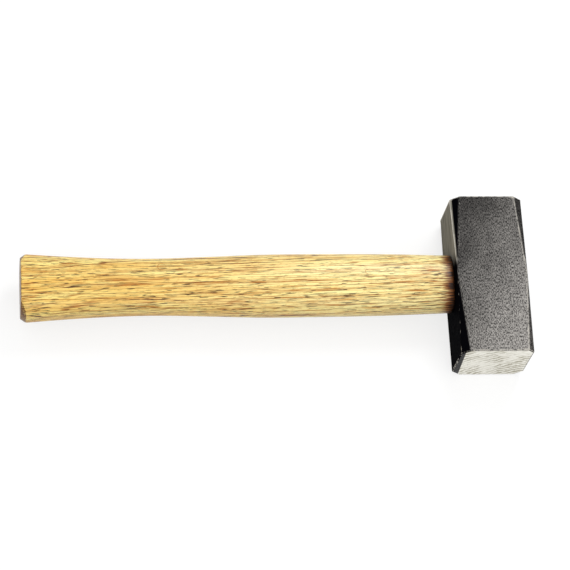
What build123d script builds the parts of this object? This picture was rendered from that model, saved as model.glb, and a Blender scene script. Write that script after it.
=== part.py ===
from build123d import *
import os

# Club hammer, double faced, lying on one cheek of its head. Millimetres, +Z up.
# The handle runs along X, with the head at its +X end. The head's long axis is Y.
# The origin is on the floor, under the middle of the head.

# Head
head_length = 93.0  # from one striking face to the other, along Y
head_face = 40.0  # side of the square head
corner_chamfer = 5.1  # leg of the corner chamfers at the striking faces
waist_chamfer = 0.6  # leg of the same chamfers at mid-length, where they run out
rim_chamfer = 0.5  # small bevel around each striking face

# Eye, an oval bore along X that widens away from the handle
eye_height = 29.0  # along Y, at the mouth where the handle enters
eye_thickness = 19.0  # along Z, at that mouth
eye_flare = 2.0  # growth of both sizes from that mouth to the far one
eye_lip = 0.5  # bevel around both mouths

# Handle
handle_length = 283.6  # from the butt to the sawn end
end_stand_out = 1.0  # how far the sawn end stands out of the far mouth
shoulder_round = 1.6  # radius where the grip turns in to the eye
tenon_clearance = 0.03  # gap around the wood inside the eye
oval_exponent = 2.5  # 2 is an ellipse, more gives flatter cheeks
oval_points = 24  # points of one section of the grip
butt_flat_diameter = 34.0  # flat left on the butt inside its bevel
butt_bevel_slope = 0.7  # radial growth of the butt's bevel per axial millimetre

# Sections of the grip: distance from the butt, height along Y, thickness along Z.
# The last one is the shoulder, and its distance is worked out from the head.
grip_sections = [
    (0.0, 38.4, 28.2),
    (25.0, 35.0, 26.2),
    (50.0, 32.5, 24.8),
    (75.0, 31.8, 24.2),
    (105.0, 33.4, 24.8),
    (135.0, 35.4, 25.8),
    (165.0, 35.5, 25.8),
    (205.0, 34.9, 24.9),
]
shoulder_height = 32.8
shoulder_thickness = 22.8

# Wooden wedge, driven into a saw cut along the long axis of the eye
wood_wedge_depth = 26.0
wood_wedge_thick = 4.2  # at the sawn end
wood_wedge_tip = 1.4
saw_cut_extra = 4.0  # how far the saw cut runs past the wedge's tip
wedge_side_margin = 0.6  # wood of the eye's width that the wedge stays short of

# Steel wedges, driven slantwise across the wooden one
steel_wedge_width = 13.0
steel_wedge_depth = 16.0
steel_wedge_thick = 2.6  # at the sawn end
steel_wedge_tip = 0.6
steel_wedge_end_gap = 7.5  # along Y, from the eye's end to the middle of a wedge
steel_wedge_turn = 45.0  # degrees from the long axis of the eye
wedge_clearance = 0.02  # gap around each wedge

# Places that follow from the sizes above
axis_z = head_face / 2
near_mouth_x = -head_face / 2
far_mouth_x = head_face / 2
sawn_end_x = far_mouth_x + end_stand_out
butt_x = sawn_end_x - handle_length
shoulder_from_butt = near_mouth_x - butt_x
steel_wedge_offset = eye_height / 2 - steel_wedge_end_gap
flat_radius = butt_flat_diameter / 2
clear_radius = max(height for _, height, _ in grip_sections)
bevel_run = (clear_radius - flat_radius) / butt_bevel_slope

os.makedirs("parts", exist_ok=True)


def across(x):
    """Plane square to the handle at x, centred on it, its own X along the head."""
    return Plane(origin=(x, 0, axis_z), x_dir=(0, 1, 0), z_dir=(1, 0, 0))


def along_head(y):
    """Plane square to the head's long axis at y, centred on the handle's axis."""
    return Plane(origin=(0, y, axis_z), x_dir=(1, 0, 0), z_dir=(0, 1, 0))


def soft_oval(height, thickness):
    """Points of an oval with slightly flattened cheeks, in order around it."""
    points = []
    for step in range(oval_points):
        heading = Vector(1, 0).rotate(Axis.Z, 360 * step / oval_points)
        reach = (
            abs(2 * heading.X / height) ** oval_exponent
            + abs(2 * heading.Y / thickness) ** oval_exponent
        ) ** (-1 / oval_exponent)
        points.append((heading.X * reach, heading.Y * reach))
    return points


def eye_size(x, gap=0.0):
    """Height and thickness of the eye's bore at x, less a gap all round."""
    growth = eye_flare * (x - near_mouth_x) / head_face
    return eye_height + growth - 2 * gap, eye_thickness + growth - 2 * gap


def eye_plug(start_x, end_x, gap):
    """The solid that fills the eye's bore between two places, less a gap all round."""
    with BuildPart() as plug:
        for x in (start_x, end_x):
            height, thickness = eye_size(x, gap)
            with BuildSketch(across(x)):
                Ellipse(height / 2, thickness / 2)
        loft()
    return plug.part


def wedge_blade(width, depth, thick, tip, offset, turn, gap=0.0):
    """A flat wedge that starts at the sawn end, with a gap all round for its slot."""
    with BuildPart() as blade:
        for x, thickness in ((sawn_end_x, thick), (sawn_end_x - depth - gap, tip)):
            with BuildSketch(across(x)):
                with Locations(Location((offset, 0), turn)):
                    Rectangle(width + 2 * gap, thickness + 2 * gap)
        loft()
    return blade.part


def steel_blade(side, gap=0.0):
    """The steel wedge on one side of the eye's middle, side being 1 or -1."""
    return wedge_blade(
        steel_wedge_width,
        steel_wedge_depth,
        steel_wedge_thick,
        steel_wedge_tip,
        side * steel_wedge_offset,
        steel_wedge_turn,
        gap,
    )


wood_wedge_width = eye_size(sawn_end_x - wood_wedge_depth)[0] - 2 * wedge_side_margin
wood_wedge_sizes = (wood_wedge_width, wood_wedge_depth, wood_wedge_thick, wood_wedge_tip)
steel_slots = [steel_blade(side, wedge_clearance) for side in (1, -1)]

# Forged head
with BuildPart() as head:
    for y, leg in (
        (-head_length / 2, corner_chamfer),
        (0, waist_chamfer),
        (head_length / 2, corner_chamfer),
    ):
        with BuildSketch(along_head(y)) as section:
            Rectangle(head_face, head_face)
            chamfer(section.vertices(), leg)
    loft(ruled=True)
    for striking_face in (faces().sort_by(Axis.Y)[0], faces().sort_by(Axis.Y)[-1]):
        chamfer(striking_face.edges(), rim_chamfer)
    add(eye_plug(near_mouth_x, far_mouth_x, 0), mode=Mode.SUBTRACT)
    for cheek in (faces().sort_by(Axis.X)[0], faces().sort_by(Axis.X)[-1]):
        chamfer(cheek.inner_wires().edges(), eye_lip)
head.part.label = "head"
export_step(head.part, "parts/head.step")

# Handle: the grip, its shoulder and the wood inside the eye
with BuildPart() as handle:
    shoulder = (shoulder_from_butt, shoulder_height, shoulder_thickness)
    for from_butt, height, thickness in grip_sections + [shoulder]:
        with BuildSketch(across(butt_x + from_butt)):
            with BuildLine():
                Spline(*soft_oval(height, thickness), periodic=True)
            make_face()
    loft()
    fillet(faces().sort_by(Axis.X)[-1].edges(), shoulder_round)
    with BuildSketch(Plane(origin=(0, 0, axis_z), x_dir=(1, 0, 0), z_dir=(0, -1, 0))):
        with BuildLine():
            Polyline(
                (butt_x, 0),
                (butt_x, flat_radius),
                (butt_x + bevel_run, clear_radius),
                (near_mouth_x, clear_radius),
                (near_mouth_x, 0),
                close=True,
            )
        make_face()
    revolve(axis=Axis((0, 0, axis_z), (1, 0, 0)), mode=Mode.INTERSECT)
    add(eye_plug(near_mouth_x, sawn_end_x, tenon_clearance))
    add(wedge_blade(*wood_wedge_sizes, 0, 0, wedge_clearance), mode=Mode.SUBTRACT)
    with BuildSketch(across(sawn_end_x - wood_wedge_depth - saw_cut_extra)):
        Rectangle(eye_height, wood_wedge_tip)
    extrude(amount=saw_cut_extra, mode=Mode.SUBTRACT)
    for slot in steel_slots:
        add(slot, mode=Mode.SUBTRACT)
handle.part.label = "handle"
export_step(handle.part, "parts/handle.step")

# Wooden wedge
with BuildPart() as wooden_wedge:
    add(wedge_blade(*wood_wedge_sizes, 0, 0))
    for slot in steel_slots:
        add(slot, mode=Mode.SUBTRACT)
wooden_wedge.part.label = "wooden_wedge"
export_step(wooden_wedge.part, "parts/wooden_wedge.step")

# Steel wedges
for number, side in ((1, 1), (2, -1)):
    with BuildPart() as steel_wedge:
        add(steel_blade(side))
    steel_wedge.part.label = f"steel_wedge_{number}"
    export_step(steel_wedge.part, f"parts/steel_wedge_{number}.step")
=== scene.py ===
"""Looks of a club hammer that lies on one cheek of its square forged head.

The handle runs along X and the head's long axis is Y. All sizes are in metres, in the frame's own axes.
"""

import logging
import math
from dataclasses import dataclass, field
from enum import Enum

import bpy
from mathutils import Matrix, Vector, noise

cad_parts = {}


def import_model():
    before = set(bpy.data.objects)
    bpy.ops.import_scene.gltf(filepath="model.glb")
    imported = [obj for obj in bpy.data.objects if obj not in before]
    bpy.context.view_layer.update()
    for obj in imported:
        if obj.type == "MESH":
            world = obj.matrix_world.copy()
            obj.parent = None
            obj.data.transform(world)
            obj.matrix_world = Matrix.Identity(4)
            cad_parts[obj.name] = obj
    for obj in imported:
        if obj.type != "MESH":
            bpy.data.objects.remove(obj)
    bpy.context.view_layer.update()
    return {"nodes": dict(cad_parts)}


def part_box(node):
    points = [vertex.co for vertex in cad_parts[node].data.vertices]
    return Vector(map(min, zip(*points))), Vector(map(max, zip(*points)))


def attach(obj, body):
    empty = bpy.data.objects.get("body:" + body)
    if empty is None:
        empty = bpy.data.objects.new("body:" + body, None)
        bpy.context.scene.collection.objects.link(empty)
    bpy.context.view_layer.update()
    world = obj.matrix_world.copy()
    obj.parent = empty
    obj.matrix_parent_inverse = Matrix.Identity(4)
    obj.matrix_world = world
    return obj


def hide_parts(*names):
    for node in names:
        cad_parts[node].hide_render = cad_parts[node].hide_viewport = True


MM = 0.001
LOG = logging.getLogger("club_hammer")


class Node(Enum):
    """The frame's own nodes."""

    HEAD = "head"
    HANDLE = "handle"
    WOODEN_WEDGE = "wooden_wedge"
    STEEL_WEDGE_1 = "steel_wedge_1"
    STEEL_WEDGE_2 = "steel_wedge_2"


class Wear(Enum):
    """Names of the values that a mesh carries to its finish."""

    EDGE = "edge_wear"
    END_GRAIN = "end_grain"


def colour(red: int, green: int, blue: int) -> tuple[float, float, float, float]:
    """Turn a colour as it is written for a screen into the renderer's linear one.

    Args:
        red: Red, 0 to 255.
        green: Green, 0 to 255.
        blue: Blue, 0 to 255.

    Returns:
        The linear colour with full alpha.
    """
    parts = [value / 255 for value in (red, green, blue)]
    linear = [p / 12.92 if p <= 0.04045 else ((p + 0.055) / 1.055) ** 2.4 for p in parts]
    return (*linear, 1.0)


def smooth_min(first: float, second: float, blend: float) -> float:
    """Return the lesser of two lengths, with a rounded change from one to the other.

    Args:
        first: One length.
        second: The other length.
        blend: Width of the rounded change.

    Returns:
        The blended lesser length.
    """
    mix = min(max(0.5 + 0.5 * (second - first) / blend, 0.0), 1.0)
    return second * (1 - mix) + first * mix - blend * mix * (1 - mix)


class Shader:
    """A material's node tree, with short ways to add and join its nodes."""

    def __init__(self, name: str) -> None:
        """Start a material that holds one plain Principled shader.

        Args:
            name: The material's name.
        """
        self.material = bpy.data.materials.new(name)
        self.material.use_nodes = True
        self.tree = self.material.node_tree
        self.surface = next(n for n in self.tree.nodes if n.type == "BSDF_PRINCIPLED")
        self.place = self.add("ShaderNodeTexCoord").outputs["Object"]

    def add(self, kind: str, **settings: object) -> bpy.types.Node:
        """Add a node and set its own settings.

        Args:
            kind: The node's type.
            **settings: Attributes of the node.

        Returns:
            The new node.
        """
        node = self.tree.nodes.new(kind)
        for key, value in settings.items():
            setattr(node, key, value)
        return node

    def join(self, source: object, target: bpy.types.NodeSocket) -> None:
        """Link an output to an input, or set the input if the source is a plain value.

        Args:
            source: An output, or a value.
            target: The input.
        """
        if isinstance(source, bpy.types.NodeSocket):
            self.tree.links.new(source, target)
        else:
            target.default_value = source

    def stretched(self, scale: tuple[float, float, float], turn: float = 0.0) -> bpy.types.NodeSocket:
        """Object coordinates turned about Z and scaled.

        Args:
            scale: Scale along X, Y and Z, in repeats per metre.
            turn: Turn about Z, in radians.

        Returns:
            The mapped coordinates.
        """
        turned = self.add("ShaderNodeMapping")
        turned.inputs["Rotation"].default_value = (0.0, 0.0, turn)
        self.join(self.place, turned.inputs["Vector"])
        mapped = self.add("ShaderNodeMapping")
        mapped.inputs["Scale"].default_value = scale
        self.join(turned.outputs["Vector"], mapped.inputs["Vector"])
        return mapped.outputs["Vector"]

    def noise(
        self, where: bpy.types.NodeSocket, detail: float = 3.0, rough: float = 0.55
    ) -> bpy.types.NodeSocket:
        """Noise at the given coordinates.

        Args:
            where: Coordinates, already scaled.
            detail: Octaves of detail.
            rough: How strong the finer octaves are.

        Returns:
            The noise's value, from 0 to 1.
        """
        node = self.add("ShaderNodeTexNoise")
        node.inputs["Scale"].default_value = 1.0
        node.inputs["Detail"].default_value = detail
        node.inputs["Roughness"].default_value = rough
        self.join(where, node.inputs["Vector"])
        return node.outputs["Fac"]

    def ramp(
        self, value: object, low: float, high: float, start: float = 0.0, end: float = 1.0
    ) -> bpy.types.NodeSocket:
        """Map a value from one range to another, clamped and eased.

        Args:
            value: The value.
            low: Where the range starts.
            high: Where it ends.
            start: Result at the start.
            end: Result at the end.

        Returns:
            The mapped value.
        """
        node = self.add("ShaderNodeMapRange", interpolation_type="SMOOTHSTEP")
        self.join(value, node.inputs["Value"])
        node.inputs["From Min"].default_value = low
        node.inputs["From Max"].default_value = high
        node.inputs["To Min"].default_value = start
        node.inputs["To Max"].default_value = end
        return node.outputs["Result"]

    def calc(self, kind: str, first: object, second: object = 0.0) -> bpy.types.NodeSocket:
        """Change one value, or combine two, with one operation of the Math node.

        Args:
            kind: The operation, such as "MULTIPLY".
            first: First value.
            second: Second value, where the operation takes one.

        Returns:
            The result.
        """
        node = self.add("ShaderNodeMath", operation=kind)
        self.join(first, node.inputs[0])
        self.join(second, node.inputs[1])
        return node.outputs[0]

    def mix(self, amount: object, under: object, over: object) -> bpy.types.NodeSocket:
        """Lay one colour over another.

        Args:
            amount: How much of the upper colour shows.
            under: The lower colour.
            over: The upper colour.

        Returns:
            The mixed colour.
        """
        node = self.add("ShaderNodeMix", data_type="RGBA")
        self.join(amount, node.inputs[0])
        self.join(under, node.inputs[6])
        self.join(over, node.inputs[7])
        return node.outputs[2]

    def along(self, axis: str) -> bpy.types.NodeSocket:
        """One coordinate of the place.

        Args:
            axis: "X", "Y" or "Z".

        Returns:
            The coordinate, in metres.
        """
        node = self.add("ShaderNodeSeparateXYZ")
        self.join(self.place, node.inputs[0])
        return node.outputs[axis]

    def carried(self, wear: Wear) -> bpy.types.NodeSocket:
        """A value that the mesh carries."""
        return self.add("ShaderNodeAttribute", attribute_name=wear.value).outputs["Fac"]

    def bump(self, height: bpy.types.NodeSocket, depth: float) -> None:
        """Give the surface relief.

        Args:
            height: Height, from 0 to 1.
            depth: Depth of the relief in metres.
        """
        node = self.add("ShaderNodeBump")
        node.inputs["Strength"].default_value = 1.0
        node.inputs["Distance"].default_value = depth
        self.join(height, node.inputs["Height"])
        self.join(node.outputs["Normal"], self.surface.inputs["Normal"])

    def set(self, **values: float) -> None:
        """Set constants on the surface's own sockets, with _ for a space in a name."""
        for key, value in values.items():
            self.surface.inputs[key.replace("_", " ")].default_value = value


@dataclass(frozen=True)
class LacqueredAsh:
    """Pale ring-porous wood under clear lacquer, brown at the butt, with painted light that grows towards
    the head and painted shade where it enters the head.

    Each scale is in repeats per metre along X, Y and Z. The reaches are measured back from the head.
    """

    butt_x: float
    eye_x: float
    pale: tuple = colour(255, 234, 144)
    honey: tuple = colour(246, 200, 100)
    # Painted light: this pale tone lightens the wood towards the head.
    head_end_light: tuple = colour(255, 247, 180)
    streak: tuple = colour(176, 106, 30)
    pore: tuple = colour(66, 40, 20)
    stain: tuple = colour(128, 120, 116)
    # Painted shade: this brown and the near-black below it darken the wood where it enters the head.
    neck_shade: tuple = colour(124, 62, 12)
    neck_deep_shade: tuple = colour(40, 24, 15)
    end_grain: tuple = colour(100, 60, 28)
    grain_turn: float = -0.032
    ring_pitch: float = 2.5 * MM
    ring_wander: float = 2.6
    ring_slope: float = 0.45
    row_width: tuple = (0.01, 0.085)
    figure_scale: tuple = (9, 190, 190)
    wander_scale: tuple = (9, 110, 110)
    cloud_scale: tuple = (22, 70, 70)
    fibre_scale: tuple = (70, 1300, 1300)
    grit_scale: tuple = (420, 1100, 1100)
    thread_scale: tuple = (10, 900, 900)
    break_scale: tuple = (75, 600, 600)
    patch_scale: tuple = (34, 420, 420)
    dash_scale: tuple = (150, 2300, 2300)
    thread_width: float = 0.07
    neck_shade_reach: tuple = (8.5 * MM, 3.4 * MM)
    neck_deep_shade_reach: tuple = (4.6 * MM, 1.0 * MM)
    neck_shade_waver: float = 2.2 * MM
    relief: float = 0.1 * MM
    dents: tuple = ((78 * MM, 7.6 * MM, 2.3 * MM), (193 * MM, 3.8 * MM, 1.2 * MM))

    def grain(
        self, s: Shader, scale: tuple, detail: float = 2.0, rough: float = 0.55
    ) -> bpy.types.NodeSocket:
        """Noise drawn out along the grain.

        Args:
            s: The shader it belongs to.
            scale: Repeats per metre along X, Y and Z.
            detail: Octaves of detail.
            rough: How strong the finer octaves are.

        Returns:
            The noise's value, from 0 to 1.
        """
        return s.noise(s.stretched(scale, self.grain_turn), detail, rough)

    def threads(self, s: Shader) -> bpy.types.NodeSocket:
        """Thin wandering lines along the grain.

        Args:
            s: The shader they belong to.

        Returns:
            1 on a line and 0 off it.
        """
        level = self.grain(s, self.thread_scale, 1.0, 0.4)
        off = s.calc("ABSOLUTE", s.calc("SUBTRACT", level, 0.5))
        return s.ramp(off, self.thread_width * 0.25, self.thread_width, 1.0, 0.0)

    def rows(self, s: Shader) -> bpy.types.NodeSocket:
        """The evenly spaced rows of the growth rings, which climb slightly along the handle.

        Args:
            s: The shader they belong to.

        Returns:
            1 on a row and 0 between rows.
        """
        climb = s.calc("MULTIPLY", s.along("X"), self.grain_turn)
        slope = s.calc("MULTIPLY", s.along("Z"), self.ring_slope)
        across = s.calc("ADD", s.calc("ADD", s.along("Y"), climb), slope)
        wander = s.calc("MULTIPLY", self.grain(s, self.wander_scale), self.ring_wander)
        turns = s.calc("ADD", s.calc("MULTIPLY", across, 1 / self.ring_pitch), wander)
        off = s.calc("ABSOLUTE", s.calc("SUBTRACT", s.calc("FRACT", turns), 0.5))
        return s.ramp(off, *self.row_width, 1.0, 0.0)

    def pores(self, s: Shader, rings: object, lines: object, cloud: object) -> bpy.types.NodeSocket:
        """Dark open pores, along the rings and as short dashes between them.

        Args:
            s: The shader they belong to.
            rings: 1 on a ring's row.
            lines: 1 on a thin line.
            cloud: Slow noise that says where the thin lines have pores.

        Returns:
            How open the wood is, from 0 to 1.
        """
        breaks = s.ramp(self.grain(s, self.break_scale), 0.45, 0.52)
        dashes = self.grain(s, self.dash_scale, 1.0, 0.5)
        near_ring = s.calc("MAXIMUM", rings, s.calc("MULTIPLY", lines, s.ramp(cloud, 0.56, 0.66)))
        split = s.calc("MULTIPLY", s.calc("MULTIPLY", near_ring, breaks), s.ramp(dashes, 0.4, 0.54))
        return s.calc("MAXIMUM", split, s.ramp(dashes, 0.605, 0.65, 0.0, 0.9))

    def dent(self, s: Shader, x: float, y: float, radius: float) -> bpy.types.NodeSocket:
        """A faint ring-shaped dent on the upper side.

        Args:
            s: The shader it belongs to.
            x: Its place along the handle.
            y: Its place across it.
            radius: Its radius.

        Returns:
            1 on the ring and 0 off it.
        """
        run = s.calc("SUBTRACT", s.along("X"), x)
        rise = s.calc("SUBTRACT", s.along("Y"), y)
        square = s.calc("ADD", s.calc("MULTIPLY", run, run), s.calc("MULTIPLY", rise, rise))
        off = s.calc("ABSOLUTE", s.calc("SUBTRACT", s.calc("SQRT", square), radius))
        ring = s.ramp(off, 0.12 * MM, 0.42 * MM, 1.0, 0.0)
        open_side = s.ramp(run, radius * 0.1, radius * 0.7, 1.0, 0.15)
        upper_side = s.ramp(s.along("Z"), 20 * MM, 25 * MM)
        return s.calc("MULTIPLY", s.calc("MULTIPLY", ring, open_side), upper_side)

    def painted_neck_shade(self, s: Shader, body: object, fibre: object) -> bpy.types.NodeSocket:
        """Paint shade on the wood where it enters the head.

        Args:
            s: The shader it belongs to.
            body: The wood's colour.
            fibre: Fine noise that makes the painted shade's border ragged.

        Returns:
            The colour with the painted shade over it.
        """
        waver = s.ramp(fibre, 0.3, 0.7, -self.neck_shade_waver, self.neck_shade_waver)
        ragged = s.calc("ADD", s.along("X"), waver)
        start, full = (self.eye_x - reach for reach in self.neck_shade_reach)
        body = s.mix(s.ramp(ragged, start, full, 0.0, 0.95), body, self.neck_shade)
        start, full = (self.eye_x - reach for reach in self.neck_deep_shade_reach)
        return s.mix(s.ramp(ragged, start, full), body, self.neck_deep_shade)

    def build(self) -> bpy.types.Material:
        """Make the material.

        Returns:
            The finished material.
        """
        s = Shader("lacquered_ash")
        figure = self.grain(s, self.figure_scale, 4.0, 0.6)
        cloud = self.grain(s, self.cloud_scale)
        fibre = self.grain(s, self.fibre_scale, 3.0, 0.65)
        grit = self.grain(s, self.grit_scale, 2.0, 0.6)
        patchy = s.ramp(self.grain(s, self.patch_scale), 0.42, 0.58)
        rings = self.rows(s)
        lines = self.threads(s)
        open_pores = self.pores(s, rings, lines, cloud)

        body = s.mix(s.ramp(figure, 0.36, 0.64), self.pale, self.honey)
        # Painted light: the wood grows lighter from the butt towards the head.
        body = s.mix(s.ramp(s.along("X"), self.butt_x, self.eye_x, 0.0, 0.75), body, self.head_end_light)
        body = s.mix(s.ramp(fibre, 0.45, 0.72, 0.0, 0.55), body, self.honey)
        body = s.mix(s.ramp(grit, 0.52, 0.72, 0.0, 0.3), body, self.streak)
        body = s.mix(s.calc("MULTIPLY", lines, s.ramp(fibre, 0.35, 0.6, 0.3, 0.9)), body, self.streak)
        body = s.mix(s.calc("MULTIPLY", rings, s.ramp(patchy, 0.0, 1.0, 0.6, 1.0)), body, self.streak)
        body = s.mix(s.ramp(cloud, 0.64, 0.76, 0.0, 0.25), body, self.stain)
        dark_share = s.ramp(cloud, 0.36, 0.56, 0.7, 1.0)
        body = s.mix(s.calc("MULTIPLY", open_pores, dark_share), body, self.pore)
        for from_butt, across, radius in self.dents:
            mark = self.dent(s, self.butt_x + from_butt, across, radius)
            body = s.mix(s.calc("MULTIPLY", mark, 0.6), body, self.streak)
        # Painted shade at the neck, where the handle enters the head.
        body = self.painted_neck_shade(s, body, fibre)
        worn_end = s.calc("MULTIPLY", s.carried(Wear.END_GRAIN), s.ramp(grit, 0.3, 0.6, 0.6, 1.0))
        body = s.mix(worn_end, body, self.end_grain)

        s.join(body, s.surface.inputs["Base Color"])
        s.join(s.ramp(figure, 0.3, 0.7, 0.3, 0.42), s.surface.inputs["Roughness"])
        s.set(Specular_IOR_Level=0.25, Coat_Weight=0.12, Coat_Roughness=0.14)
        height = s.calc("SUBTRACT", s.calc("MULTIPLY", fibre, 0.35), s.calc("MULTIPLY", open_pores, 0.8))
        s.bump(height, self.relief)
        return s.material


@dataclass(frozen=True)
class BlackLacquer:
    """Black lacquer over forged scale, with dust and painted sheen on its broad sides, a painted
    reflection on the upper part of the side by the handle, and rubbed through along the edges.

    Each scale is in repeats per metre along X, Y and Z.
    """

    mouth_x: float
    top_z: float
    black: tuple = colour(5, 5, 8)
    # Dust mixed with painted sheen: the grey that lightens the cheeks.
    dusty_sheen: tuple = colour(184, 180, 175)
    # Painted reflection: the grey on the upper part of the face beside the handle.
    reflected_grey: tuple = colour(168, 164, 152)
    bare: tuple = colour(205, 200, 190)
    peel_scale: tuple = (2500, 900, 1500)
    cloud_scale: tuple = (110, 60, 110)
    chip_scale: tuple = (520, 340, 520)
    reflection_streak_scale: tuple = (900, 60, 900)
    # Slant and spread of the painted sheen across the cheeks.
    sheen_lean: tuple = (1.35, 0.8)
    sheen_run: tuple = (-62 * MM, 72 * MM)
    sheen_waver: float = 9 * MM
    relief: float = 0.12 * MM

    def cheek(self, s: Shader) -> bpy.types.NodeSocket:
        """Tell the two flat cheeks from the other sides.

        Args:
            s: The shader it belongs to.

        Returns:
            1 on the cheeks and almost 0 elsewhere.
        """
        height = s.calc("ABSOLUTE", s.calc("SUBTRACT", s.along("Z"), self.top_z / 2))
        return s.ramp(height, self.top_z / 2 - 1.1 * MM, self.top_z / 2 - 0.4 * MM, 0.004, 1.0)

    def dust_and_sheen(self, s: Shader, peel: object, cloud: object, cheek: object) -> bpy.types.NodeSocket:
        """Grey dust in the lacquer's peel with painted sheen, which grows lighter across the cheeks
        towards +X and -Y.

        Args:
            s: The shader it belongs to.
            peel: Fine noise of the lacquer's skin.
            cloud: Slow noise that moves the border of the dust and painted sheen.
            cheek: 1 on the cheeks.

        Returns:
            How much dust and painted sheen there is.
        """
        # Painted sheen: a broad slant of grey, lighter towards +X and -Y, stands for the lamp's
        # reflection on the cheeks.
        lean_x, lean_y = self.sheen_lean
        run = s.calc("MULTIPLY", s.along("X"), lean_x)
        rise = s.calc("MULTIPLY", s.along("Y"), lean_y)
        waver = s.ramp(cloud, 0.3, 0.7, -self.sheen_waver, self.sheen_waver)
        slant = s.calc("ADD", s.calc("SUBTRACT", run, rise), waver)
        broad = s.ramp(slant, *self.sheen_run, 0.14, 0.9)
        far_side = s.ramp(s.along("X"), 13.5 * MM, 17 * MM, 0.0, 0.26)
        shown = s.calc("MULTIPLY", broad, s.calc("MAXIMUM", cheek, far_side))
        return s.calc("MULTIPLY", shown, s.ramp(peel, 0.38, 0.6, 0.1, 1.1))

    def worn(self, s: Shader, cheek: object) -> bpy.types.NodeSocket:
        """Bare steel along the long edges.

        Args:
            s: The shader it belongs to.
            cheek: 1 on the cheeks.

        Returns:
            How bare the steel is, from 0 to 1.
        """
        edge = s.carried(Wear.EDGE)
        chips = s.noise(s.stretched(self.chip_scale), 3.0, 0.6)
        chipped = s.ramp(s.calc("ADD", edge, s.calc("MULTIPLY", chips, 1.1)), 1.42, 1.56, 0.0, 0.75)
        near_corner = s.ramp(s.along("X"), self.mouth_x + 0.2 * MM, self.mouth_x + 1.2 * MM, 1.0, 0.0)
        near_line = s.calc("MULTIPLY", near_corner, s.ramp(s.along("Y"), 4 * MM, 14 * MM))
        far_corner = s.calc("MULTIPLY", s.ramp(s.along("X"), 12 * MM, 14 * MM), cheek)
        far_line = s.calc("MULTIPLY", far_corner, s.ramp(chips, 0.35, 0.65, 0.05, 0.7))
        lines = s.calc("MAXIMUM", near_line, far_line)
        return s.calc("MAXIMUM", chipped, s.calc("MULTIPLY", lines, s.ramp(edge, 0.35, 0.7)))

    def build(self) -> bpy.types.Material:
        """Make the material.

        Returns:
            The finished material.
        """
        s = Shader("black_lacquer")
        peel = s.noise(s.stretched(self.peel_scale), 2.0, 0.6)
        cloud = s.noise(s.stretched(self.cloud_scale), 3.0, 0.5)
        reflection_streaks = s.noise(s.stretched(self.reflection_streak_scale), 3.0, 0.6)
        cheek = self.cheek(s)
        worn = self.worn(s, cheek)
        body = s.mix(self.dust_and_sheen(s, peel, cloud, cheek), self.black, self.dusty_sheen)
        # Painted reflection: streaky grey on the upper part of the face beside the handle.
        handle_side = s.ramp(s.along("X"), self.mouth_x + 0.3 * MM, self.mouth_x + 0.7 * MM, 1.0, 0.0)
        reflection_patch = s.calc("MULTIPLY", handle_side, s.ramp(s.along("Y"), 6 * MM, 16 * MM))
        body = s.mix(s.calc("MULTIPLY", reflection_patch, s.ramp(reflection_streaks, 0.3, 0.7, 0.45, 0.85)), body, self.reflected_grey)
        body = s.mix(worn, body, self.bare)
        s.join(body, s.surface.inputs["Base Color"])
        s.join(s.calc("MULTIPLY", worn, 0.8), s.surface.inputs["Metallic"])
        s.join(s.ramp(peel, 0.3, 0.7, 0.5, 0.72), s.surface.inputs["Roughness"])
        s.set(Specular_IOR_Level=0.001)
        s.bump(s.calc("ADD", s.calc("MULTIPLY", peel, 0.5), cloud), self.relief)
        return s.material


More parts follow.
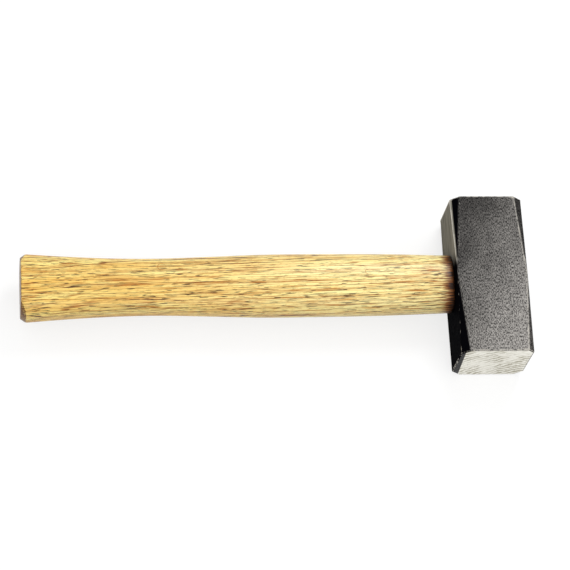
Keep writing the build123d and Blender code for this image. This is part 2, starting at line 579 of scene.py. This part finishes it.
@dataclass(frozen=True)
class GroundSteel:
    """Bright striking face with the arcs that a cup wheel leaves, and a few specks of rust."""

    mouth_x: float
    top_z: float
    bright: tuple = colour(248, 246, 236)
    dull: tuple = colour(164, 158, 136)
    speck: tuple = colour(74, 58, 40)
    lacquer: tuple = colour(9, 9, 11)
    lacquer_width: float = 1.6 * MM
    lacquer_slope: float = 0.045
    arc_offset: float = 45 * MM
    arc_rate: float = 105.0
    arc_distortion: float = 5.0
    relief: float = 0.02 * MM

    def arcs(self, s: Shader) -> bpy.types.NodeSocket:
        """Arcs around a place beyond the face's lower edge.

        Args:
            s: The shader they belong to.

        Returns:
            The arcs, from 0 to 1.
        """
        shifted = s.add("ShaderNodeMapping")
        shifted.inputs["Location"].default_value = (-self.arc_offset, 0.0, self.arc_offset)
        s.join(s.place, shifted.inputs["Vector"])
        wave = s.add("ShaderNodeTexWave", wave_type="RINGS", rings_direction="Y", wave_profile="SIN")
        wave.inputs["Scale"].default_value = self.arc_rate
        wave.inputs["Distortion"].default_value = self.arc_distortion
        wave.inputs["Detail Scale"].default_value = 2.5
        wave.inputs["Detail"].default_value = 3.0
        s.join(shifted.outputs["Vector"], wave.inputs["Vector"])
        return wave.outputs["Fac"]

    def bare(self, s: Shader) -> bpy.types.NodeSocket:
        """Tell the ground steel from the strip of lacquer that is left along the handle's side.

        Args:
            s: The shader it belongs to.

        Returns:
            1 on the steel and 0 on the lacquer.
        """
        slope = s.calc("MULTIPLY", s.calc("SUBTRACT", self.top_z, s.along("Z")), self.lacquer_slope)
        inward = s.calc("SUBTRACT", s.calc("SUBTRACT", s.along("X"), self.mouth_x), slope)
        return s.ramp(inward, self.lacquer_width, self.lacquer_width + 0.25 * MM)

    def build(self) -> bpy.types.Material:
        """Make the material.

        Returns:
            The finished material.
        """
        s = Shader("ground_steel")
        arcs = self.arcs(s)
        bare = self.bare(s)
        patches = s.noise(s.stretched((120, 120, 120)), 3.0, 0.6)
        specks = s.noise(s.stretched((1300, 1300, 1300)), 1.0, 0.5)
        marked = s.calc("MULTIPLY", arcs, s.ramp(patches, 0.3, 0.65, 0.15, 1.0))
        body = s.mix(marked, self.bright, self.dull)
        body = s.mix(s.ramp(specks, 0.7, 0.76, 0.0, 0.8), body, self.speck)
        body = s.mix(s.ramp(s.carried(Wear.EDGE), 0.55, 0.9, 0.0, 0.6), body, self.speck)
        body = s.mix(bare, self.lacquer, body)
        s.join(body, s.surface.inputs["Base Color"])
        s.join(s.calc("MULTIPLY", bare, 0.55), s.surface.inputs["Metallic"])
        s.join(s.ramp(arcs, 0.0, 1.0, 0.34, 0.46), s.surface.inputs["Roughness"])
        s.set(Specular_IOR_Level=0.1)
        s.bump(arcs, self.relief)
        return s.material


@dataclass(frozen=True)
class SawnBeech:
    """Bare reddish wedge wood, sawn across."""

    light: tuple = colour(190, 140, 92)
    dark: tuple = colour(122, 80, 48)

    def build(self) -> bpy.types.Material:
        """Make the material.

        Returns:
            The finished material.
        """
        s = Shader("sawn_beech")
        fibre = s.noise(s.stretched((60, 900, 900)), 4.0, 0.6)
        s.join(s.mix(s.ramp(fibre, 0.35, 0.65), self.light, self.dark), s.surface.inputs["Base Color"])
        s.join(s.ramp(fibre, 0.3, 0.7, 0.6, 0.8), s.surface.inputs["Roughness"])
        s.bump(fibre, 0.05 * MM)
        return s.material


@dataclass(frozen=True)
class MildSteel:
    """Plain grey steel of the small wedges, hammered at the end."""

    light: tuple = colour(150, 148, 144)
    dark: tuple = colour(88, 84, 80)

    def build(self) -> bpy.types.Material:
        """Make the material.

        Returns:
            The finished material.
        """
        s = Shader("mild_steel")
        dents = s.noise(s.stretched((700, 700, 700)), 3.0, 0.6)
        s.join(s.mix(s.ramp(dents, 0.35, 0.65), self.light, self.dark), s.surface.inputs["Base Color"])
        s.join(s.ramp(dents, 0.3, 0.7, 0.35, 0.6), s.surface.inputs["Roughness"])
        s.set(Metallic=0.9)
        s.bump(dents, 0.06 * MM)
        return s.material


class Bench:
    """Short ways to use Blender's modelling operators on one piece."""

    @staticmethod
    def clear() -> None:
        """Leave edit mode and select nothing."""
        if bpy.context.object and bpy.context.object.mode != "OBJECT":
            bpy.ops.object.mode_set(mode="OBJECT")
        bpy.ops.object.select_all(action="DESELECT")

    @staticmethod
    def take(piece: bpy.types.Object) -> None:
        """Make a piece the only selected one.

        Args:
            piece: The piece.
        """
        Bench.clear()
        piece.select_set(True)
        bpy.context.view_layer.objects.active = piece

    @staticmethod
    def bar(name: str, sides: int, low: Vector, high: Vector, turn: tuple) -> bpy.types.Object:
        """Add a bar of unit radius between two places, with its place in its mesh.

        Args:
            name: The piece's name.
            sides: How many sides it has.
            low: Centre of its first end.
            high: Centre of its second end.
            turn: Turn of the primitive that lays it along its axis.

        Returns:
            The bar.
        """
        Bench.clear()
        bpy.ops.mesh.primitive_cylinder_add(vertices=sides, radius=1.0, depth=(high - low).length,
                                            location=(low + high) / 2, rotation=turn)
        piece = bpy.context.object
        piece.name = name
        piece.data.name = name
        bpy.ops.object.transform_apply(location=True, rotation=True, scale=True)
        return piece

    @staticmethod
    def slice(piece: bpy.types.Object, axis: int, places: list[float]) -> None:
        """Cut a piece's faces with planes across one axis.

        Args:
            piece: The piece.
            axis: 0, 1 or 2 for X, Y or Z.
            places: Where the planes cross the axis.
        """
        Bench.take(piece)
        normal = tuple(1.0 if i == axis else 0.0 for i in range(3))
        bpy.ops.object.mode_set(mode="EDIT")
        for place in places:
            bpy.ops.mesh.select_all(action="SELECT")
            centre = tuple(place * n for n in normal)
            bpy.ops.mesh.bisect(plane_co=centre, plane_no=normal, threshold=1e-7)
        bpy.ops.object.mode_set(mode="OBJECT")

    @staticmethod
    def apply(piece: bpy.types.Object, kind: str, **settings: object) -> None:
        """Add a modifier and apply it at once.

        Args:
            piece: The piece.
            kind: The modifier's type.
            **settings: Its settings.
        """
        Bench.take(piece)
        bpy.ops.object.modifier_add(type=kind)
        modifier = piece.modifiers[-1]
        for key, value in settings.items():
            setattr(modifier, key, value)
        bpy.ops.object.modifier_apply(modifier=modifier.name)

    @staticmethod
    def close(piece: bpy.types.Object, angle: float) -> None:
        """Merge doubles, point the faces outwards and shade smooth below an angle.

        Args:
            piece: The piece.
            angle: The angle, in degrees.
        """
        Bench.take(piece)
        bpy.ops.object.mode_set(mode="EDIT")
        bpy.ops.mesh.select_all(action="SELECT")
        bpy.ops.mesh.remove_doubles(threshold=1e-6)
        bpy.ops.mesh.normals_make_consistent(inside=False)
        bpy.ops.object.mode_set(mode="OBJECT")
        bpy.ops.object.shade_smooth_by_angle(angle=math.radians(angle))

    @staticmethod
    def carry(piece: bpy.types.Object, wear: Wear, values: list[float]) -> None:
        """Store one value for each vertex.

        Args:
            piece: The piece.
            wear: The name under which the finish reads it.
            values: One value for each vertex.
        """
        layer = piece.data.attributes.new(wear.value, "FLOAT", "POINT")
        layer.data.foreach_set("value", values)


@dataclass
class Eye:
    """The oval bore through the head, which flares away from the handle."""

    half_head: float
    height: float = 29.0 * MM
    thickness: float = 19.0 * MM
    flare: float = 2.0 * MM

    def radii(self, x: float) -> tuple[float, float]:
        """Half height and half thickness of the bore at a place along the handle.

        Args:
            x: The place.

        Returns:
            The two radii.
        """
        growth = self.flare * (x + self.half_head) / (2 * self.half_head)
        return (self.height + growth) / 2, (self.thickness + growth) / 2


@dataclass
class ForgedHead:
    """Square double-faced head with corner chamfers that run out at mid-length."""

    half: float
    half_length: float
    axis_z: float
    eye: Eye
    chamfer: float = 5.1 * MM
    waist: float = 0.6 * MM
    rim: float = 0.5 * MM
    narrow_chamfer: float = 1.4 * MM
    end_flare: float = 0.55 * MM
    edge_round: float = 0.25 * MM
    grid: float = 1.5 * MM
    hollow: float = 0.16 * MM
    hollow_rate: float = 70.0
    rim_share: float = 0.42
    wear_reach: float = 0.42 * MM
    lip: float = 0.5 * MM

    def width(self, y: float) -> float:
        """Half width along the handle, a little more at the ends, where the forging spread."""
        return self.half + self.end_flare * min(abs(y) / (self.half_length - self.rim), 1.0)

    def leg(self, x: float, y: float, z: float) -> float:
        """Leg of the corner chamfer at a place, narrower on one corner as the forging left it.

        Args:
            x: Place along the handle.
            y: Place along the head.
            z: Height above the floor.

        Returns:
            The leg.
        """
        end_leg = self.chamfer
        if x > 0 and z > self.axis_z and y < 0:
            end_leg -= self.narrow_chamfer
        share = min(abs(y) / (self.half_length - self.rim), 1.0)
        return self.waist + (end_leg - self.waist) * share

    def corner(self, place: Vector) -> Vector:
        """Place of one of the eight long edges where it passes a point's station.

        Args:
            place: A point of the round bar that the head is made from.

        Returns:
            The point moved to its corner of the head's section.
        """
        across, up = place.x, place.z - self.axis_z
        inset = self.rim if abs(abs(place.y) - self.half_length) < 1e-6 else 0.0
        wide = self.width(place.y)
        short = self.leg(across, place.y, place.z) + inset * self.rim_share
        if abs(across) > abs(up):
            side, rise = wide - inset, self.half - short
        else:
            side, rise = wide - short, self.half - inset
        return Vector((math.copysign(side, across), place.y, self.axis_z + math.copysign(rise, up)))

    def edge_wear(self, place: Vector) -> float:
        """How near a point is to a worn edge, 1 on it and 0 away from it.

        Args:
            place: The point.

        Returns:
            The wear.
        """
        across, up = abs(place.x), abs(place.z - self.axis_z)
        leg = self.leg(place.x, place.y, place.z)
        wide = self.width(place.y)
        near = min(math.hypot(across - wide, up - self.half + leg),
                   math.hypot(across - wide + leg, up - self.half))
        from_end = self.half_length - abs(place.y)
        within = max(0.0, min(wide - across, self.half - up) - self.rim)
        rim = min(abs(from_end - self.rim), abs(from_end) + within)
        return math.exp(-((min(near, rim) / self.wear_reach) ** 2))

    def forge(self, piece: bpy.types.Object) -> None:
        """Let the cheeks sink a little here and there, as hammered steel does.

        Args:
            piece: The head.
        """
        for vertex in piece.data.vertices:
            place = vertex.co
            out = Vector((place.x, 0.0, place.z - self.axis_z))
            if self.half_length - abs(place.y) < self.rim + self.edge_round or out.length < self.half / 2:
                continue
            low = self.hollow * (0.5 + 0.5 * noise.noise(place * self.hollow_rate))
            vertex.co = place - out.normalized() * low

    def cut_eye(self, piece: bpy.types.Object) -> None:
        """Bore the oval eye, with a small bevel at both mouths.

        Args:
            piece: The head.
        """
        reach = self.half + 2 * MM
        low, high = Vector((-reach, 0, self.axis_z)), Vector((reach, 0, self.axis_z))
        plug = Bench.bar("eye_cutter", 96, low, high, (0, math.pi / 2, 0))
        mouths = [-self.half, self.half]
        Bench.slice(plug, 0, [mouth + side for mouth in mouths for side in (-self.lip, self.lip)])
        for vertex in plug.data.vertices:
            tall, thick = self.eye.radii(vertex.co.x)
            beyond = max(0.0, abs(vertex.co.x) - self.half + self.lip)
            height, up = vertex.co.y, vertex.co.z - self.axis_z
            vertex.co.y = height * (tall + beyond)
            vertex.co.z = self.axis_z + up * (thick + beyond)
        Bench.close(plug, 30)
        Bench.apply(piece, "BOOLEAN", operation="DIFFERENCE", solver="EXACT", object=plug)
        bpy.data.objects.remove(plug, do_unlink=True)

    def build(self, lacquer: bpy.types.Material, ground: bpy.types.Material) -> bpy.types.Object:
        """Model the head and dress it.

        Args:
            lacquer: Finish of the sides.
            ground: Finish of the striking faces.

        Returns:
            The finished head.
        """
        low = Vector((0, -self.half_length, self.axis_z))
        high = Vector((0, self.half_length, self.axis_z))
        piece = Bench.bar("forged_head", 8, low, high, (math.pi / 2, math.pi / 8, 0))
        Bench.slice(piece, 1, [-self.half_length + self.rim, 0.0, self.half_length - self.rim])
        for vertex in piece.data.vertices:
            vertex.co = self.corner(vertex.co)
        Bench.apply(piece, "BEVEL", width=self.edge_round, segments=3, limit_method="ANGLE",
                    angle_limit=math.radians(18), use_clamp_overlap=False)
        rows = int(self.half_length / self.grid)
        columns = int(self.half / self.grid)
        lines = [self.grid * (step + 0.5) for step in range(-columns, columns)]
        Bench.slice(piece, 1, [self.grid * (step + 0.5) for step in range(-rows, rows)])
        Bench.slice(piece, 0, lines)
        Bench.slice(piece, 2, [self.axis_z + line for line in lines])
        self.forge(piece)
        self.cut_eye(piece)
        Bench.close(piece, 24)
        Bench.carry(piece, Wear.EDGE, [self.edge_wear(v.co) for v in piece.data.vertices])
        piece.data.materials.clear()
        piece.data.materials.append(lacquer)
        piece.data.materials.append(ground)
        for face in piece.data.polygons:
            face.material_index = 1 if abs(face.normal.y) > 0.96 else 0
        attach(piece, "root")
        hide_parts(Node.HEAD.value)
        return piece


@dataclass
class AshHandle:
    """Turned oval handle, with its tenon in the eye."""

    butt_x: float
    sawn_x: float
    mouth_x: float
    axis_z: float
    eye: Eye
    exponent: float = 2.5
    flat_radius: float = 17.0 * MM
    bevel_slope: float = 0.7
    bevel_blend: float = 0.7 * MM
    shoulder_round: float = 1.6 * MM
    butt_round: float = 0.8 * MM
    hang: float = 0.0061
    step: float = 2.0 * MM
    sides: int = 128
    sawn_recess: float = 0.1 * MM
    skin: float = 0.08 * MM
    skin_rate: float = 40.0
    grip_end: float = 3.0 * MM
    butt_step: float = 0.25 * MM
    butt_rings: int = 23
    grip_start: float = 7.0 * MM
    grip_margin: float = 10.0 * MM
    turn_in_rings: int = 10
    turn_in_angle: float = 0.16
    sections: list[tuple[float, float, float]] = field(default_factory=lambda: [
        (0.0, 38.4, 28.2),
        (25.0, 35.0, 26.2),
        (50.0, 32.5, 24.8),
        (75.0, 31.8, 24.2),
        (105.0, 33.4, 24.8),
        (135.0, 35.4, 25.8),
        (165.0, 35.5, 25.8),
        (205.0, 34.9, 24.9),
        (242.6, 32.8, 22.8),
    ])

    def size(self, along: float, column: int) -> float:
        """A size of the grip at a distance from its butt, on a smooth curve through its sections.

        Args:
            along: Distance from the butt, in millimetres.
            column: 1 for the height, 2 for the thickness.

        Returns:
            The size, in metres.
        """
        rows = self.sections
        spot = next((i for i in range(len(rows) - 2) if along < rows[i + 1][0]), len(rows) - 2)
        slopes = []
        for index in (spot, spot + 1):
            low, high = max(index - 1, 0), min(index + 1, len(rows) - 1)
            slopes.append((rows[high][column] - rows[low][column]) / (rows[high][0] - rows[low][0]))
        run = rows[spot + 1][0] - rows[spot][0]
        t = (along - rows[spot][0]) / run
        start, end = rows[spot][column], rows[spot + 1][column]
        value = ((2 * t**3 - 3 * t**2 + 1) * start + (t**3 - 2 * t**2 + t) * run * slopes[0]
                 + (3 * t**2 - 2 * t**3) * end + (t**3 - t**2) * run * slopes[1])
        return value * MM

    def reach(self, x: float, heading: tuple[float, float]) -> tuple[float, float]:
        """Distance from the axis to the surface, and how much of it the end bevel took.

        Args:
            x: Place along the handle.
            heading: Direction across it, as a unit pair along Y and Z.

        Returns:
            The distance, and 1 on the bevel or 0 on the side.
        """
        if x > self.mouth_x - 1e-7:
            tall, thick = self.eye.radii(x)
            return 1 / math.hypot(heading[0] / tall, heading[1] / thick), 0.0
        along = x - self.butt_x
        tall, thick = self.size(along / MM, 1) / 2, self.size(along / MM, 2) / 2
        side = (abs(heading[0] / tall) ** self.exponent + abs(heading[1] / thick) ** self.exponent)
        side = side ** (-1 / self.exponent)
        into = self.shoulder_round - (self.mouth_x - x)
        if into > 0:
            side -= self.shoulder_round - math.sqrt(max(self.shoulder_round**2 - into**2, 0.0))
        into = self.butt_round - along
        if into > 0:
            side -= self.butt_round - math.sqrt(max(self.butt_round**2 - into**2, 0.0))
        bevel = self.flat_radius + self.bevel_slope * along
        return smooth_min(side, bevel, self.bevel_blend), 1.0 if bevel < side else 0.0

    def lean(self, x: float) -> float:
        """How far the handle's axis stands off to one side, because it was hung a little out of square.

        Args:
            x: Place along the handle.

        Returns:
            The distance along Y, none at the sawn end.
        """
        middle = (self.butt_x + self.mouth_x) / 2
        if x < self.mouth_x:
            return self.hang * (x - middle)
        inside = (x - self.mouth_x) / (self.sawn_x - self.mouth_x)
        return self.hang * (self.mouth_x - middle) * max(1 - 4 * inside, 0.0)

    def rings(self) -> list[float]:
        """Choose where the handle's mesh has a ring.

        Returns:
            Places along the handle.
        """
        near_butt = [self.butt_x + self.butt_step * (step + 1) for step in range(self.butt_rings)]
        count = int((self.mouth_x - self.butt_x - self.grip_margin) / self.step)
        grip = [self.butt_x + self.grip_start + self.step * step for step in range(count)]
        turn_in = [
            self.mouth_x - self.shoulder_round * (1 - math.sin(self.turn_in_angle * step))
            for step in range(self.turn_in_rings)
        ]
        grip = [x for x in grip if x < turn_in[0] - self.step / 2]
        return near_butt + grip + turn_in + [self.mouth_x, self.mouth_x + 2 * MM, -self.mouth_x]

    def build(self, wood: bpy.types.Material) -> bpy.types.Object:
        """Model the handle and dress it.

        Args:
            wood: Its finish.

        Returns:
            The finished handle.
        """
        low = Vector((self.butt_x, 0, self.axis_z))
        high = Vector((self.sawn_x - self.sawn_recess, 0, self.axis_z))
        piece = Bench.bar("ash_handle", self.sides, low, high, (0, math.pi / 2, 0))
        Bench.slice(piece, 0, self.rings())
        ends = []
        for vertex in piece.data.vertices:
            heading = (vertex.co.y, vertex.co.z - self.axis_z)
            reach, bevelled = self.reach(vertex.co.x, heading)
            if vertex.co.x < self.mouth_x - self.grip_end:
                ripple = noise.noise(Vector((vertex.co.x * self.skin_rate, *heading)))
                reach -= self.skin * (0.5 + 0.5 * ripple)
            side = heading[0] * reach + self.lean(vertex.co.x)
            vertex.co = Vector((vertex.co.x, side, self.axis_z + heading[1] * reach))
            sawn = vertex.co.x > self.mouth_x + self.grip_end
            ends.append(1.0 if sawn or vertex.co.x < self.butt_x + 1e-6 else bevelled)
        Bench.close(piece, 40)
        Bench.carry(piece, Wear.END_GRAIN, ends)
        piece.data.materials.clear()
        piece.data.materials.append(wood)
        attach(piece, "root")
        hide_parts(Node.HANDLE.value)
        return piece


@dataclass
class Wedges:
    """The wedges in the eye, which keep their own solids and get their finishes."""

    nodes: dict

    def dress(self, wood: bpy.types.Material, steel: bpy.types.Material) -> None:
        """Give each wedge its finish.

        Args:
            wood: Finish of the wooden wedge.
            steel: Finish of the steel ones.
        """
        finishes = {Node.WOODEN_WEDGE: wood, Node.STEEL_WEDGE_1: steel, Node.STEEL_WEDGE_2: steel}
        for node, finish in finishes.items():
            mesh = self.nodes[node.value].data
            mesh.materials.clear()
            mesh.materials.append(finish)
            LOG.info("dressed %s", node.value)


@dataclass(frozen=True)
class SoftBox:
    """A square lamp that points at one place."""

    name: str
    place: tuple
    aim: tuple
    size: float
    power: float

    def hang(self) -> None:
        """Hang the lamp."""
        Bench.clear()
        bpy.ops.object.light_add(type="AREA", location=self.place)
        lamp = bpy.context.object
        lamp.name = self.name
        lamp.data.size = self.size
        lamp.data.energy = self.power
        lamp.rotation_euler = (Vector(self.aim) - lamp.location).to_track_quat("-Z", "Y").to_euler()
        LOG.info("hung %s", self.name)


@dataclass
class Studio:
    """Pale floor, soft lights and the camera."""

    lens: float = 170.18
    eye_point: tuple = (-0.3094, -0.5454, 1.4141)
    eye_turn: tuple = (0.37337, -0.12927, -0.0042)
    lamps: tuple = (
        SoftBox("soft_box", place=(0.12, 0.42, 0.6), aim=(-0.03, 0.0, 0.03), size=0.3, power=2.2),
        SoftBox("fill_box", place=(-0.1, -0.6, 0.45), aim=(-0.1, 0.0, 0.02), size=0.5, power=1.3),
    )
    sky: float = 0.76
    floor_size: float = 6.0
    floor_grey: tuple = (0.32, 0.32, 0.32, 1.0)
    floor_glow: float = 0.72

    def floor(self) -> None:
        """Lay the floor, which shows white and keeps the shadow."""
        Bench.clear()
        bpy.ops.mesh.primitive_plane_add(size=self.floor_size, location=(0, 0, 0))
        floor = bpy.context.object
        floor.name = "studio_floor"
        material = bpy.data.materials.new("white_floor")
        material.use_nodes = True
        tree = material.node_tree
        tree.nodes.clear()
        out = tree.nodes.new("ShaderNodeOutputMaterial")
        plain = tree.nodes.new("ShaderNodeBsdfDiffuse")
        plain.inputs["Color"].default_value = self.floor_grey
        glow = tree.nodes.new("ShaderNodeEmission")
        both = tree.nodes.new("ShaderNodeAddShader")
        tree.links.new(self.seen(tree, 0.0, self.floor_glow), glow.inputs["Strength"])
        tree.links.new(plain.outputs[0], both.inputs[0])
        tree.links.new(glow.outputs[0], both.inputs[1])
        tree.links.new(both.outputs[0], out.inputs["Surface"])
        floor.data.materials.append(material)

    def seen(self, tree: bpy.types.NodeTree, other: float, shown: float) -> bpy.types.NodeSocket:
        """A strength for rays from the camera, mirrors and glass, and another for the rest.

        Args:
            tree: The node tree.
            other: Strength for the light that falls on things.
            shown: Strength that is seen.

        Returns:
            The strength.
        """
        path = tree.nodes.new("ShaderNodeLightPath")
        first = tree.nodes.new("ShaderNodeMath")
        first.operation = "MAXIMUM"
        second = tree.nodes.new("ShaderNodeMath")
        second.operation = "MAXIMUM"
        tree.links.new(path.outputs["Is Camera Ray"], first.inputs[0])
        tree.links.new(path.outputs["Is Glossy Ray"], first.inputs[1])
        tree.links.new(first.outputs[0], second.inputs[0])
        tree.links.new(path.outputs["Is Transmission Ray"], second.inputs[1])
        level = tree.nodes.new("ShaderNodeMapRange")
        tree.links.new(second.outputs[0], level.inputs["Value"])
        level.inputs["To Min"].default_value = other
        level.inputs["To Max"].default_value = shown
        return level.outputs["Result"]

    def light(self) -> None:
        """Hang the lamps and set the sky."""
        for lamp in self.lamps:
            lamp.hang()
        world = bpy.context.scene.world or bpy.data.worlds.new("studio")
        bpy.context.scene.world = world
        world.use_nodes = True
        sky = next(n for n in world.node_tree.nodes if n.type == "BACKGROUND")
        sky.inputs["Color"].default_value = (1.0, 1.0, 1.0, 1.0)
        sky.inputs["Strength"].default_value = self.sky

    def camera(self) -> None:
        """Stand the camera above, to the left and in front."""
        data = bpy.data.cameras.new("camera")
        data.lens = self.lens
        data.sensor_width = 36.0
        camera = bpy.data.objects.new("camera", data)
        bpy.context.scene.collection.objects.link(camera)
        camera.location = self.eye_point
        camera.rotation_mode = "ZYX"
        camera.rotation_euler = self.eye_turn
        bpy.context.scene.camera = camera
        bpy.context.scene.view_settings.view_transform = "Standard"


def main() -> None:
    """Build the hammer, dress it and set up the studio."""
    logging.basicConfig(level=logging.INFO, format="%(message)s")
    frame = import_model()
    head_low, head_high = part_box(Node.HEAD.value)
    handle_low, handle_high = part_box(Node.HANDLE.value)
    half = (head_high[0] - head_low[0]) / 2
    axis_z = (head_high[2] + head_low[2]) / 2
    eye = Eye(half_head=half)

    head = ForgedHead(half=half, half_length=(head_high[1] - head_low[1]) / 2, axis_z=axis_z, eye=eye)
    lacquer = BlackLacquer(mouth_x=-half, top_z=head_high[2]).build()
    ground = GroundSteel(mouth_x=-half, top_z=head_high[2]).build()
    built = head.build(lacquer, ground)
    LOG.info("built %s with %d faces", built.name, len(built.data.polygons))

    handle = AshHandle(butt_x=handle_low[0], sawn_x=handle_high[0], mouth_x=-half, axis_z=axis_z, eye=eye)
    built = handle.build(LacqueredAsh(butt_x=handle_low[0], eye_x=-half).build())
    LOG.info("built %s with %d faces", built.name, len(built.data.polygons))

    Wedges(frame["nodes"]).dress(SawnBeech().build(), MildSteel().build())

    studio = Studio()
    studio.floor()
    studio.light()
    studio.camera()


if __name__ == "__main__":
    main()
